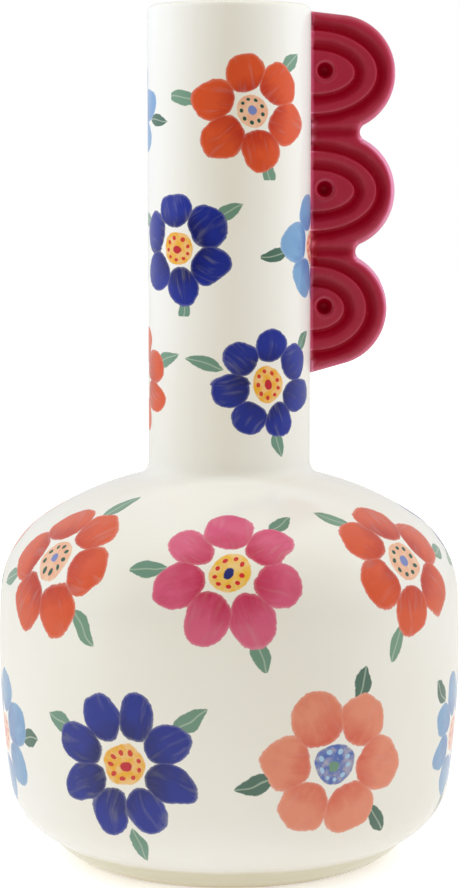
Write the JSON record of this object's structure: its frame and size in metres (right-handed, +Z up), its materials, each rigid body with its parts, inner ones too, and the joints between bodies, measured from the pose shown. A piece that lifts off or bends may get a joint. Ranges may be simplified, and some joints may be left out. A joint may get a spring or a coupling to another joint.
{
  "type": "vase",
  "caption": "Long-necked ceramic bulb vase in ivory glaze with painted rosettes and a raspberry scalloped fin on one side of the neck.",
  "frame": {"origin": "middle of the foot, on the table that the vase stands on", "axes": "+Z up along the vase's axis and out of its mouth, +X out through the fin, +Y completes a right-handed frame"},
  "size_m": [0.1634, 0.1634, 0.3],
  "materials": {
    "ivory_glaze": "gloss",
    "foot_glaze": "gloss",
    "raspberry_glaze": "gloss",
    "slip": "matte"
  },
  "bodies": {
    "root": {"belly_shell": "ivory_glaze", "neck_tube": "ivory_glaze", "foot_base": "foot_glaze", "scalloped_fin": "raspberry_glaze", "neck_slip": "slip", "foot_slip": "slip", "fin_slip": "slip"}
  },
  "joints": []
}
